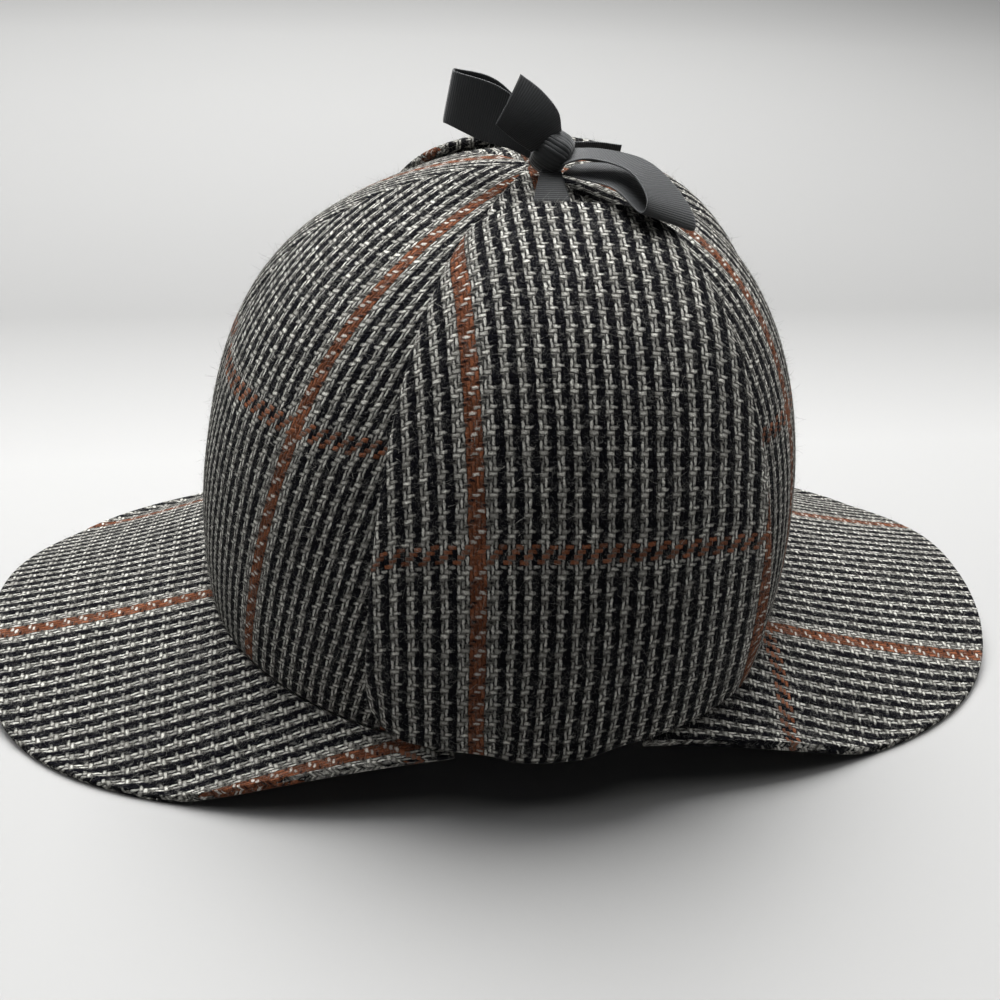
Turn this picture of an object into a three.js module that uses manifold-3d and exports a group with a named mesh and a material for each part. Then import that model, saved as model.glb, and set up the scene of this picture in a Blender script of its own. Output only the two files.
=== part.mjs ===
import * as THREE from 'three';
import Module from 'manifold-3d';

// Deerstalker cap: six crown panels, two peaks, two tied-up ear flaps and a ribbon bow.
// Millimetres, +Z up, front towards -X, resting on the lower edges of the two peaks.

// Head opening
const RIM_HALF_LENGTH = 96.5;
const RIM_FRONT_STRETCH = 5;
const RIM_HALF_WIDTH = 92;
const RIM_HEIGHT = 24;

// Crown
const CROWN_RISE = 137;
const CROWN_ROUND = 3.1;
const CROWN_SHOULDER = 1.82;
const CROWN_LEAN = -1;
const CROWN_FULLNESS = 8;
const FLAP_PUFF = 3.5;
const FLAP_PUFF_TOP = 1.1;
const APEX_TIP = 6;
const APEX_TIP_REACH = 0.35;
const APEX_HOLE = 1.2;
const CROWN_WALL = 2;
const SEAM_GAP = 0.3;

// Peaks
const PEAK_REACH = 175.5;
const PEAK_CENTRE = 9;
const PEAK_HALF_WIDTH = 90;
const PEAK_SQUARENESS = 2.7;
const PEAK_END = 28;
const PEAK_THICKNESS = 3;
const PEAK_TIP_HEIGHT = 9;
const PEAK_LOW_AT = 0.84;
const PEAK_FLARE = 1.15;
const PEAK_PRESS = 2.2;
const PEAK_HEM = 0.93;

// Ear flaps
const FLAP_FRONT_ANGLE = 121.5;
const FLAP_BACK_ANGLE = 43.5;
const FLAP_TOP_FRONT = [-0.045, -0.085];
const FLAP_TOP_BACK = [0.1, -0.095];
const FLAP_BACK_BOW = [-0.03, -0.05];
const FLAP_THICKNESS = 3;
const FLAP_CLEAR = 0.8;
const FLAP_TIP = 4;
const FLAP_DROP = 0.6;
const FLAP_OVER_PEAK = 2.4;

// Ribbon
const RIBBON_THICKNESS = 0.7;
const KNOT_CENTRE = [2.2, -10.9, 173.6];
const KNOT_AXIS = [0.85, -0.32, -0.42];
const KNOT_HALF = [4.2, 6.2, 6.2];
const KNOT_CLEAR = 0.35;

// Facets
const PANEL_GRID = [10, 16];
const PEAK_GRID = [32, 6];
const FLAP_GRID = [16, 20];

const RAD = Math.PI / 180;
const clamp = (v, lo, hi) => Math.min(hi, Math.max(lo, v));
const lerp = (a, b, k) => a + (b - a) * k;
const smooth = (a, b, v) => {
  const k = clamp((v - a) / (b - a), 0, 1);
  return k * k * (3 - 2 * k);
};

// A closed sheet: an even grid in u and v, with a face at w = +1 and a back at w = -1.
function closedSheet(nu, nv, place) {
  const points = [];
  const faces = [];
  const at = (i, j, side) => (side * (nv + 1) + j) * (nu + 1) + i;
  for (let side = 0; side < 2; side += 1) {
    for (let j = 0; j <= nv; j += 1) {
      for (let i = 0; i <= nu; i += 1) {
        const p = place(i / nu, j / nv, side ? -1 : 1);
        points.push(p.x, p.y, p.z);
      }
    }
  }
  const quad = (a, b, c, d) => faces.push(a, b, c, a, c, d);
  for (let j = 0; j < nv; j += 1) {
    for (let i = 0; i < nu; i += 1) {
      quad(at(i, j, 0), at(i + 1, j, 0), at(i + 1, j + 1, 0), at(i, j + 1, 0));
      quad(at(i, j, 1), at(i, j + 1, 1), at(i + 1, j + 1, 1), at(i + 1, j, 1));
    }
  }
  for (let i = 0; i < nu; i += 1) {
    quad(at(i, 0, 0), at(i, 0, 1), at(i + 1, 0, 1), at(i + 1, 0, 0));
    quad(at(i, nv, 0), at(i + 1, nv, 0), at(i + 1, nv, 1), at(i, nv, 1));
  }
  for (let j = 0; j < nv; j += 1) {
    quad(at(0, j, 0), at(0, j + 1, 0), at(0, j + 1, 1), at(0, j, 1));
    quad(at(nu, j, 0), at(nu, j, 1), at(nu, j + 1, 1), at(nu, j + 1, 0));
  }
  const geometry = new THREE.BufferGeometry();
  geometry.setAttribute('position', new THREE.Float32BufferAttribute(points, 3));
  geometry.setIndex(faces);
  return geometry;
}

function mirroredY(geometry) {
  const out = geometry.clone();
  const p = out.getAttribute('position');
  for (let i = 0; i < p.count; i += 1) {
    p.setY(i, -p.getY(i));
  }
  const index = Array.from(out.getIndex().array);
  for (let i = 0; i < index.length; i += 3) {
    [index[i + 1], index[i + 2]] = [index[i + 2], index[i + 1]];
  }
  out.setIndex(index);
  return out;
}

const rimLength = (angle) => RIM_HALF_LENGTH - RIM_FRONT_STRETCH * Math.cos(angle);

// The crown as a dome of revolution drawn out over an oval rim.
// Share 0 is the rim and 1 the apex; below 0 the wall runs straight down.
function dome(angle, share, puff, puffTop, tip) {
  const th = clamp(share, 0, 1) * Math.PI / 2;
  const r = Math.max(Math.cos(th), 0) ** (2 / CROWN_ROUND);
  const rise = Math.sin(th) ** (2 / CROWN_SHOULDER);
  const drop = Math.min(share, 0) * CROWN_RISE;
  return new THREE.Vector3(
    (rimLength(angle) * r + puff + CROWN_FULLNESS * rise * r) * Math.cos(angle)
      + CROWN_LEAN * rise,
    (RIM_HALF_WIDTH * r + puff) * Math.sin(angle),
    RIM_HEIGHT + CROWN_RISE * rise + drop
      + tip * Math.exp(-((r / APEX_TIP_REACH) ** 2)) + puffTop * puff * rise ** 3,
  );
}

const puffShare = (share) => Math.sin(Math.PI * clamp(share, 0, 1)) ** 0.8;

// How far a panel stands out between its seams, from its middle line to nothing at the seam.
function panelPuff(startDegrees, puff, angle, share) {
  const across = (angle / RAD - startDegrees - 30) / 30;
  return puff * Math.max(1 - across * across, 0) * puffShare(share);
}

// Over the ear panel the flap keeps to the highest puff towards its back edge.
function flapPuff(angle, share) {
  const off = Math.min(angle / RAD + 90, 0) / 30;
  return FLAP_PUFF * (1 - off * off) * puffShare(share);
}

function surfaceNormal(surface, angle, share) {
  const step = 1e-3;
  const s = clamp(share, 2 * step, 1 - 2 * step);
  const across = surface(angle + step, s).sub(surface(angle - step, s));
  const up = surface(angle, s + step).sub(surface(angle, s - step));
  return across.cross(up).normalize();
}

const flapSurface = (angle, share) => (
  dome(angle, share, flapPuff(angle, share), FLAP_PUFF_TOP, FLAP_TIP)
);

function crownPanel({ start, puff, puffTop }) {
  const top = Math.acos((APEX_HOLE / RIM_HALF_LENGTH) ** (CROWN_ROUND / 2)) / (Math.PI / 2);
  const surface = (angle, share) => (
    dome(angle, share, panelPuff(start, puff, angle, share), puffTop, APEX_TIP)
  );
  return closedSheet(PANEL_GRID[0], PANEL_GRID[1], (u, v, w) => {
    const share = top * (1 - (1 - v) ** 1.6);
    const r = Math.cos(share * Math.PI / 2) ** (2 / CROWN_ROUND);
    const inset = SEAM_GAP / 2 / (RIM_HALF_WIDTH * r);
    const angle = lerp(start * RAD + inset, (start + 60) * RAD - inset, u);
    const p = surface(angle, share);
    if (w > 0) {
      return p;
    }
    const level = (a, t) => dome(a, t, panelPuff(start, puff, angle, t), puffTop, APEX_TIP);
    return p.addScaledVector(surfaceNormal(level, angle, share), -CROWN_WALL);
  });
}

// Outer edge of a peak, as a squared oval with its low points to the sides.
function peakEdge(turn) {
  const c = Math.abs(Math.cos(turn)) ** (2 / PEAK_SQUARENESS);
  const s = Math.sign(turn) * Math.abs(Math.sin(turn)) ** (2 / PEAK_SQUARENESS);
  const across = Math.abs(s);
  const fall = Math.sin(clamp(across / PEAK_LOW_AT, 0, 1) * Math.PI / 2) ** 2;
  const climb = clamp((across - PEAK_LOW_AT) / (1 - PEAK_LOW_AT), 0, 1) ** 2;
  const height = lerp(PEAK_TIP_HEIGHT, -PEAK_PRESS, fall)
    + (RIM_HEIGHT - 3 + PEAK_PRESS) * climb;
  return new THREE.Vector3(
    PEAK_CENTRE + (PEAK_REACH - PEAK_CENTRE) * c,
    PEAK_HALF_WIDTH * s,
    height,
  );
}

function peak(side) {
  const endShare = (PEAK_END - PEAK_CENTRE) / (PEAK_REACH - PEAK_CENTRE);
  const lastTurn = Math.acos(endShare ** (PEAK_SQUARENESS / 2));
  const lastAngle = Math.acos(PEAK_END / RIM_HALF_LENGTH);
  const facing = side > 0 ? 0 : Math.PI;
  const rows = [0, 0.2, 0.4, 0.6, 0.78, PEAK_HEM, 1];
  return closedSheet(PEAK_GRID[0], PEAK_GRID[1], (u, v, w) => {
    const k = 1 - 2 * u;
    const out = rows[Math.round(v * PEAK_GRID[1])];
    const angle = k * lastAngle;
    const inner = new THREE.Vector3(
      (rimLength(facing + angle) + SEAM_GAP) * Math.cos(angle),
      (RIM_HALF_WIDTH + SEAM_GAP) * Math.sin(angle),
      RIM_HEIGHT - PEAK_THICKNESS / 2,
    );
    const outer = peakEdge(k * lastTurn);
    const p = inner.clone().lerp(outer, out);
    p.z = outer.z + (inner.z - outer.z) * (1 - out) ** PEAK_FLARE;
    p.z = Math.max(p.z, 0) + (w > 0 ? PEAK_THICKNESS : 0);
    p.x *= side;
    p.y *= side;
    return p;
  });
}

// The ear flap is drawn on the flattened dome, where the apex is the middle and the rim a circle.
function flapSpot(u, v) {
  const angle = lerp(-FLAP_FRONT_ANGLE, -FLAP_BACK_ANGLE, u) * RAD;
  const k = 2 * u - 1;
  const corner = 0.07 * Math.abs(k) ** 5;
  const reach = v * (1 - corner);
  const topX = lerp(FLAP_TOP_FRONT[0], FLAP_TOP_BACK[0], u);
  const topY = lerp(FLAP_TOP_FRONT[1], FLAP_TOP_BACK[1], u);
  const bow = Math.sin(Math.PI * reach) * u * u;
  const x = lerp(Math.cos(angle), topX, reach) + FLAP_BACK_BOW[0] * bow;
  const y = lerp(Math.sin(angle), topY, reach) + FLAP_BACK_BOW[1] * bow;
  return { angle: Math.atan2(y, x), share: 1 - Math.hypot(x, y) };
}

function earFlap() {
  return closedSheet(FLAP_GRID[0], FLAP_GRID[1], (u, v, w) => {
    const run = v < 0.06 ? 0 : (v - 0.06) / 0.94;
    const { angle, share } = flapSpot(u, run);
    const s = Math.max(share, 0);
    const p = flapSurface(angle, s);
    const n = surfaceNormal(flapSurface, angle, s);
    const away = FLAP_CLEAR + (w > 0 ? FLAP_THICKNESS : 0);
    p.addScaledVector(n, away);
    const along = Math.abs(RIM_HALF_LENGTH * Math.cos(angle));
    const k = Math.abs(2 * u - 1);
    const over = smooth(PEAK_END - 20, PEAK_END - 8, along);
    const round = 10 * smooth(0.8, 1, k) ** 2;
    const bottom = lerp(-FLAP_DROP, FLAP_OVER_PEAK, over) + round;
    const lift = bottom * (1 - smooth(0, 0.2, v));
    p.z += lift;
    return p;
  });
}

// A ribbon is ruled between two edges given at a few stations.
function smoothThrough(stations, v) {
  const last = stations.length - 1;
  const at = clamp(v * last, 0, last - 1e-9);
  const i = Math.floor(at);
  const f = at - i;
  const row = (j) => stations[clamp(j, 0, last)];
  return stations[0].map((_, c) => {
    const a = row(i - 1)[c];
    const b = row(i)[c];
    const d = row(i + 1)[c];
    const e = row(i + 2)[c];
    const m0 = (d - a) / (i > 0 ? 2 : 1);
    const m1 = (e - b) / (i < last - 1 ? 2 : 1);
    const f2 = f * f;
    const f3 = f2 * f;
    return (2 * f3 - 3 * f2 + 1) * b + (f3 - 2 * f2 + f) * m0
      + (-2 * f3 + 3 * f2) * d + (f3 - f2) * m1;
  });
}

function ribbon(stations, nu, nv, cup) {
  const spot = (u, v) => {
    const e = smoothThrough(stations, v);
    const p = new THREE.Vector3(
      lerp(e[0], e[3], u),
      lerp(e[1], e[4], u),
      lerp(e[2], e[5], u),
    );
    p.y -= cup * 4 * u * (1 - u);
    return p;
  };
  return closedSheet(nu, nv, (u, v, w) => {
    const step = 0.01;
    const across = spot(Math.min(u + step, 1), v).sub(spot(Math.max(u - step, 0), v));
    const along = spot(u, Math.min(v + step, 1)).sub(spot(u, Math.max(v - step, 0)));
    const n = across.cross(along).normalize();
    return spot(u, v).addScaledVector(n, w * RIBBON_THICKNESS / 2);
  });
}

// Stations: x, y, z of the lower edge, then x, y, z of the upper edge.
const LOOP_FRONT = [
  [-2.7, -10.4, 171.1, 0.7, -9.4, 177.5],
  [-10.1, -9.4, 174.1, -6.7, -8, 185.8],
  [-17.4, -7.5, 175.6, -13.5, -6, 190.2],
  [-26.3, -4.5, 179, -23.8, -3.1, 193.5],
  [-27.5, -2.1, 179, -25.1, -0.6, 193.5],
  [-25.8, 0.4, 179, -23.3, 1.8, 193.2],
  [-15.5, -0.6, 175.1, -11.6, 0.4, 189.3],
  [-2.7, -5, 172.6, 1.2, -5, 177.5],
];
const TAIL_FRONT = [
  [-4.2, -13.8, 174.6, 4.1, -13.4, 180],
  [-9.1, -14.8, 178, 2.6, -15.3, 185.4],
  [-12.1, -15.3, 180.4, -2.3, -16.3, 190.7],
  [-15, -15.3, 182.9, -8.6, -16.8, 195.6],
];
const LOOP_BACK = [
  [1.5, -16.2, 170.6, 7.9, -11.3, 175],
  [9.4, -20.6, 175, 15.8, -13.7, 175.5],
  [18.3, -27.5, 175, 26.1, -18.7, 174.5],
  [21.7, -32.4, 173.6, 32.5, -23.6, 171.6],
  [22.2, -35.9, 172.1, 37.5, -29.5, 166.7],
  [20.7, -35.9, 170.1, 36.5, -30.5, 163.2],
  [15.8, -30.5, 170.6, 29.6, -25.1, 165.2],
  [9.9, -22.6, 170.6, 18.7, -16.7, 168.6],
  [4.5, -15.7, 169.1, 8.9, -10.8, 170],
];
const TAIL_BACK = [
  [8, -5, 169.7, 8, -4.5, 174.6],
  [15.9, -2.6, 168.2, 16.4, -2.6, 174.1],
  [23.2, -1.6, 164.3, 24.2, -2.1, 173.1],
];
const TIE_LEFT = [
  [-4.5, -23.4, 164.2, 6, -23.4, 164.2],
  [-3, -19, 167.5, 5, -19, 167.5],
  [-0.5, -13, 171.5, 4, -13, 171.5],
];
const TIE_RIGHT = [
  [-4.5, 23.4, 164.2, 6, 23.4, 164.2],
  [-4, 14, 168.2, 5.5, 14, 168.2],
  [-2, 2, 170.2, 4.5, 2, 170.2],
  [0, -8, 172.5, 4, -8, 172.5],
];

function knotBody(swell) {
  const geometry = new THREE.SphereGeometry(1, 18, 12);
  const p = geometry.getAttribute('position');
  const axis = new THREE.Vector3(...KNOT_AXIS).normalize();
  const turn = new THREE.Quaternion().setFromUnitVectors(new THREE.Vector3(1, 0, 0), axis);
  const square = (v) => Math.sign(v) * Math.abs(v) ** 0.75;
  for (let i = 0; i < p.count; i += 1) {
    const spot = new THREE.Vector3(
      square(p.getX(i)) * (KNOT_HALF[0] + swell),
      p.getY(i) * (KNOT_HALF[1] + swell),
      p.getZ(i) * (KNOT_HALF[2] + swell),
    );
    spot.applyQuaternion(turn).add(new THREE.Vector3(...KNOT_CENTRE));
    p.setXYZ(i, spot.x, spot.y, spot.z);
  }
  return geometry;
}

const { Manifold, Mesh } = await (async () => {
  const wasm = await Module();
  wasm.setup();
  return wasm;
})();

function toManifold(geometry) {
  const p = geometry.getAttribute('position');
  const mesh = new Mesh({
    numProp: 3,
    vertProperties: new Float32Array(p.array),
    triVerts: new Uint32Array(geometry.getIndex().array),
  });
  mesh.merge();
  return new Manifold(mesh);
}

function toGeometry(body) {
  const mesh = body.getMesh();
  const geometry = new THREE.BufferGeometry();
  const points = [];
  for (let i = 0; i < mesh.numVert; i += 1) {
    const at = i * mesh.numProp;
    points.push(mesh.vertProperties[at], mesh.vertProperties[at + 1], mesh.vertProperties[at + 2]);
  }
  geometry.setAttribute('position', new THREE.Float32BufferAttribute(points, 3));
  geometry.setIndex(Array.from(mesh.triVerts));
  return geometry;
}

const knotRoom = toManifold(knotBody(KNOT_CLEAR));
const offKnot = (geometry) => toGeometry(toManifold(geometry).subtract(knotRoom));

const tweed = new THREE.MeshStandardMaterial({ color: 0x6d6c6a, roughness: 0.95 });
const ribbonBlack = new THREE.MeshStandardMaterial({ color: 0x1c1d1f, roughness: 0.6 });
tweed.name = 'tweed';
ribbonBlack.name = 'ribbon';

const cap = new THREE.Group();
function add(name, geometry, material) {
  geometry.computeVertexNormals();
  const mesh = new THREE.Mesh(geometry, material);
  mesh.name = name;
  cap.add(mesh);
}

// Start angle of each panel in degrees, and how far it stands out at its middle and near the top.
const PANELS = [
  { name: 'crown_panel_front_left', start: 180, puff: 3.5, puffTop: -1.2 },
  { name: 'crown_panel_left', start: 240, puff: 3.5, puffTop: 0 },
  { name: 'crown_panel_back_left', start: 300, puff: 3.5, puffTop: 0.4 },
  { name: 'crown_panel_back_right', start: 0, puff: 4, puffTop: 1.6 },
  { name: 'crown_panel_right', start: 60, puff: 3.5, puffTop: 0 },
  { name: 'crown_panel_front_right', start: 120, puff: 3, puffTop: -1.8 },
];
for (const panel of PANELS) {
  add(panel.name, crownPanel(panel), tweed);
}
add('peak_front', peak(-1), tweed);
add('peak_back', peak(1), tweed);
const flap = earFlap();
add('ear_flap_left', flap, tweed);
add('ear_flap_right', mirroredY(flap), tweed);
add('bow_knot', toGeometry(toManifold(knotBody(0))), ribbonBlack);
add('bow_loop_front', offKnot(ribbon(LOOP_FRONT, 3, 28, 0)), ribbonBlack);
add('bow_loop_back', offKnot(ribbon(LOOP_BACK, 3, 32, 0)), ribbonBlack);
add('bow_tail_front', offKnot(ribbon(TAIL_FRONT, 4, 9, 0.8)), ribbonBlack);
add('bow_tail_back', offKnot(ribbon(TAIL_BACK, 4, 8, 0)), ribbonBlack);
add('ribbon_tie_left', offKnot(ribbon(TIE_LEFT, 3, 6, 0)), ribbonBlack);
add('ribbon_tie_right', offKnot(ribbon(TIE_RIGHT, 3, 9, 0)), ribbonBlack);

export default cap;
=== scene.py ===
"""Deerstalker hat in checked tweed with a ribbed ribbon bow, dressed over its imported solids."""

import logging
import math
from dataclasses import dataclass, field
from enum import Enum
from typing import Callable, Sequence

import bpy
import numpy as np
from mathutils import Matrix, Vector


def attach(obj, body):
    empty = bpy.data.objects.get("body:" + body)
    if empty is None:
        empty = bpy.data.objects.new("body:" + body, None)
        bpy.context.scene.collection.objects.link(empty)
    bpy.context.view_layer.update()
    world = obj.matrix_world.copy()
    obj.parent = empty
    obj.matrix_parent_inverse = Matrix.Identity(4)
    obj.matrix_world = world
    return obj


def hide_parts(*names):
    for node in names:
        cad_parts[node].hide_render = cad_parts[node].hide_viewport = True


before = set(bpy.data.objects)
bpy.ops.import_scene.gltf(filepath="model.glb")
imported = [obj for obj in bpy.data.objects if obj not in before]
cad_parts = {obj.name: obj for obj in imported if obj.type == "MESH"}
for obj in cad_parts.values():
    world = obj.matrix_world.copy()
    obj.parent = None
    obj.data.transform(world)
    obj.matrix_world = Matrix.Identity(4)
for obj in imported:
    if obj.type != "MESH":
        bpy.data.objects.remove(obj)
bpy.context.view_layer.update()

LOG = logging.getLogger("deerstalker")
MM = 0.001
Array = np.ndarray


class Slot(Enum):
    """Finishes that the record knows."""

    TWEED = "tweed"
    RIBBON = "ribbon"


class Side(Enum):
    """Wearer's left is towards -Y."""

    LEFT = -1
    RIGHT = 1


class End(Enum):
    """The front of the hat is towards -X."""

    FRONT = -1
    BACK = 1


def smooth(low: float, high: float, value: Array) -> Array:
    """Soft step from 0 at low to 1 at high.

    Args:
        low: Value where the step starts.
        high: Value where the step ends.
        value: Values to step.

    Returns:
        The stepped values.
    """
    k = np.clip((value - low) / (high - low), 0.0, 1.0)
    return k * k * (3 - 2 * k)


def lerp(a: Array, b: Array, k: Array) -> Array:
    """Straight mix from a at k = 0 to b at k = 1."""
    return a + (b - a) * k


def unit(vectors: Array) -> Array:
    """Vectors of length one, along the last axis."""
    return vectors / np.maximum(np.linalg.norm(vectors, axis=-1, keepdims=True), 1e-12)


def deselect_all() -> None:
    """Leaves nothing selected, in object mode."""
    if bpy.context.mode != "OBJECT":
        bpy.ops.object.mode_set(mode="OBJECT")
    bpy.ops.object.select_all(action="DESELECT")


def apply_modifiers(piece: bpy.types.Object) -> None:
    """Applies every modifier of a piece, in order.

    Args:
        piece: The piece whose modifiers become mesh.
    """
    deselect_all()
    piece.select_set(True)
    bpy.context.view_layer.objects.active = piece
    for modifier in list(piece.modifiers):
        bpy.ops.object.modifier_apply(modifier=modifier.name)


class Sketch:
    """Places nodes in a tree and links them by short calls."""

    def __init__(self, tree: bpy.types.NodeTree) -> None:
        """Keeps the tree that nodes go into."""
        self.tree = tree

    def node(self, kind: str, **settings: object) -> bpy.types.Node:
        """Adds a node and sets its properties.

        Args:
            kind: Node type name.
            settings: Properties to set on the node.

        Returns:
            The new node.
        """
        made = self.tree.nodes.new(kind)
        for name, value in settings.items():
            setattr(made, name, value)
        return made

    def feed(self, socket: bpy.types.NodeSocket, value: object) -> None:
        """Links a socket, or sets a plain value on it.

        Args:
            socket: The input to feed.
            value: Another socket, or a number, vector or colour.
        """
        if isinstance(value, bpy.types.NodeSocket):
            self.tree.links.new(value, socket)
        else:
            socket.default_value = value

    def math(self, operation: str, *values: object) -> bpy.types.NodeSocket:
        """One Math node.

        Args:
            operation: Math operation.
            values: Up to three inputs.

        Returns:
            The result socket.
        """
        made = self.node("ShaderNodeMath", operation=operation)
        for socket, value in zip(made.inputs, values):
            self.feed(socket, value)
        return made.outputs[0]

    def vector(self, operation: str, *values: object) -> bpy.types.NodeSocket:
        """One Vector Math node.

        Args:
            operation: Vector operation.
            values: Up to three inputs.

        Returns:
            The vector result socket.
        """
        made = self.node("ShaderNodeVectorMath", operation=operation)
        for socket, value in zip(made.inputs, values):
            self.feed(socket, value)
        return made.outputs[0]

    def combine(self, x: object, y: object, z: object) -> bpy.types.NodeSocket:
        """A vector from three numbers."""
        made = self.node("ShaderNodeCombineXYZ")
        for socket, value in zip(made.inputs, (x, y, z)):
            self.feed(socket, value)
        return made.outputs[0]

    def separate(self, vector: bpy.types.NodeSocket) -> Sequence[bpy.types.NodeSocket]:
        """The three numbers of a vector."""
        made = self.node("ShaderNodeSeparateXYZ")
        self.feed(made.inputs[0], vector)
        return made.outputs

    def choose(self, mask: object, low: object, high: object) -> bpy.types.NodeSocket:
        """A number that is low at mask 0 and high at mask 1."""
        made = self.node("ShaderNodeMix", data_type="FLOAT")
        for socket, value in zip(made.inputs[:1] + made.inputs[2:4], (mask, low, high)):
            self.feed(socket, value)
        return made.outputs[0]

    def blend(self, mask: object, low: object, high: object, way: str = "MIX") -> bpy.types.NodeSocket:
        """A colour that is low at mask 0 and high, or a blend of both, at mask 1.

        Args:
            mask: Share of the blend.
            low: First colour.
            high: Second colour.
            way: Blend type.

        Returns:
            The colour socket.
        """
        made = self.node("ShaderNodeMix", data_type="RGBA", blend_type=way)
        for socket, value in zip((made.inputs[0], made.inputs[6], made.inputs[7]), (mask, low, high)):
            self.feed(socket, value)
        return made.outputs[2]

    def noise(self, vector: object, scale: float, detail: float = 2.0) -> bpy.types.Node:
        """A noise texture on a vector.

        Args:
            vector: Where the noise is read.
            scale: Noise scale.
            detail: Octaves of detail.

        Returns:
            The noise node.
        """
        made = self.node("ShaderNodeTexNoise")
        self.feed(made.inputs["Vector"], vector)
        made.inputs["Scale"].default_value = scale
        made.inputs["Detail"].default_value = detail
        return made

    def remap(
        self, value: object, low: float, high: float, to_low: float, to_high: float
    ) -> bpy.types.NodeSocket:
        """A clamped straight remap of a number.

        Args:
            value: The number.
            low: Start of its range.
            high: End of its range.
            to_low: Result at the start.
            to_high: Result at the end.

        Returns:
            The result socket.
        """
        made = self.node("ShaderNodeMapRange")
        for socket, given in zip(made.inputs, (value, low, high, to_low, to_high)):
            self.feed(socket, given)
        return made.outputs[0]


@dataclass(frozen=True)
class TweedFinish:
    """Two-and-two twill in light and dark pairs with a rust overcheck."""

    light: tuple = (0.86, 0.848, 0.785, 1)
    # The light yarn in painted shade, used for its darker fibres and for light ends seen in the gaps
    light_shaded: tuple = (0.31, 0.30, 0.265, 1)
    dark: tuple = (0.0025, 0.0025, 0.004, 1)
    dark_lift: tuple = (0.022, 0.023, 0.032, 1)
    rust: tuple = (0.36, 0.128, 0.058, 1)
    rust_deep: tuple = (0.075, 0.024, 0.013, 1)
    ends_repeat: int = 76
    picks_repeat: int = 100
    relief: float = 0.00055
    roughness: float = 0.92
    sheen: float = 0.012

    def weave_group(self) -> bpy.types.NodeTree:
        """Builds the weave, with painted shade between its yarns, as a group that reads end and pick numbers.

        Returns:
            The node group, with Color, Height and Fibre outputs.
        """
        tree = bpy.data.node_groups.new("tweed_weave", "ShaderNodeTree")
        tree.interface.new_socket("Grain", in_out="INPUT", socket_type="NodeSocketVector")
        for name in ("Light", "Light Shaded", "Dark", "Dark Lift", "Rust", "Rust Deep"):
            tree.interface.new_socket(name, in_out="INPUT", socket_type="NodeSocketColor")
        tree.interface.new_socket("Color", in_out="OUTPUT", socket_type="NodeSocketColor")
        tree.interface.new_socket("Height", in_out="OUTPUT", socket_type="NodeSocketFloat")
        tree.interface.new_socket("Fibre", in_out="OUTPUT", socket_type="NodeSocketFloat")
        s = Sketch(tree)
        given = s.node("NodeGroupInput").outputs
        out = s.node("NodeGroupOutput").inputs
        # Threads that wander a little
        slow = s.vector("SUBTRACT", s.noise(given["Grain"], 0.16, 1.0).outputs["Color"], (0.5, 0.5, 0.5))
        quick = s.vector("SUBTRACT", s.noise(given["Grain"], 0.85, 1.0).outputs["Color"], (0.5, 0.5, 0.5))
        wander = s.vector("MULTIPLY_ADD", slow, (0.9, 0.9, 0.0), given["Grain"])
        wander = s.vector("MULTIPLY_ADD", quick, (0.55, 0.55, 0.0), wander)
        across, along, _ = s.separate(wander)
        # Which thread lies on top
        end = s.math("FLOOR", across)
        pick = s.math("FLOOR", along)
        in_end = s.math("FRACT", across)
        in_pick = s.math("FRACT", along)
        step = s.math("FLOORED_MODULO", s.math("SUBTRACT", end, pick), 4.0)
        warp_up = s.math("GREATER_THAN", step, 1.5)
        side = s.math("MULTIPLY_ADD", s.choose(warp_up, in_pick, in_end), 2.0, -1.0)
        run_warp = s.math("MULTIPLY", s.math("ADD", s.math("SUBTRACT", 3.0, step), in_pick), 0.5)
        run_weft = s.math("MULTIPLY", s.math("ADD", step, in_end), 0.5)
        run = s.choose(warp_up, run_weft, run_warp)
        # Light, dark and rust threads
        thread = s.choose(warp_up, pick, end)
        cross = s.choose(warp_up, s.math("SUBTRACT", end, step), s.math("ADD", pick, step))
        repeat = s.choose(warp_up, float(self.picks_repeat), float(self.ends_repeat))
        place = s.math("SUBTRACT", repeat, s.math("FLOORED_MODULO", thread, repeat))
        off = s.math("ABSOLUTE", s.math("SUBTRACT", place, 3.5))
        is_rust = s.math("LESS_THAN", off, 2.0)
        is_guard = s.math("LESS_THAN", off, 3.0)
        is_light = s.math("LESS_THAN", s.math("FLOORED_MODULO", thread, 4.0), 1.5)
        is_light = s.math("MAXIMUM", is_light, is_guard)
        # Round yarn with ragged edges, and the cover mask that keeps painted gap shade off the yarn
        arch = s.math("SUBTRACT", 1.0, s.math("MULTIPLY", side, side))
        crown = s.math("POWER", s.math("MAXIMUM", arch, 0.0), 0.5)
        lens = s.math("POWER", s.math("SINE", s.math("MULTIPLY", run, math.pi)), 0.5)
        flat_end = s.choose(warp_up, 0.42, 0.68)
        yarn = s.math("MULTIPLY", crown, s.choose(lens, flat_end, 1.0))
        twist = s.math("MULTIPLY_ADD", run, 1.6, side)
        seat = s.combine(
            s.math("MULTIPLY_ADD", twist, 1.5, s.math("MULTIPLY", thread, 3.17)),
            s.math("MULTIPLY_ADD", run, 1.3, s.math("MULTIPLY", cross, 1.71)),
            s.math("MULTIPLY", warp_up, 9.0),
        )
        fibre = s.remap(s.noise(seat, 2.6, 5.0).outputs[0], 0.3, 0.7, 0.0, 1.0)
        ragged = s.math("SUBTRACT", s.noise(given["Grain"], 2.6, 4.0).outputs[0], 0.5)
        body = s.math("MULTIPLY_ADD", ragged, 0.95, s.math("MULTIPLY_ADD", fibre, 0.12, yarn))
        unshaded_yarn = s.remap(body, 0.69, 1.06, 0.0, 1.0)
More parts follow.
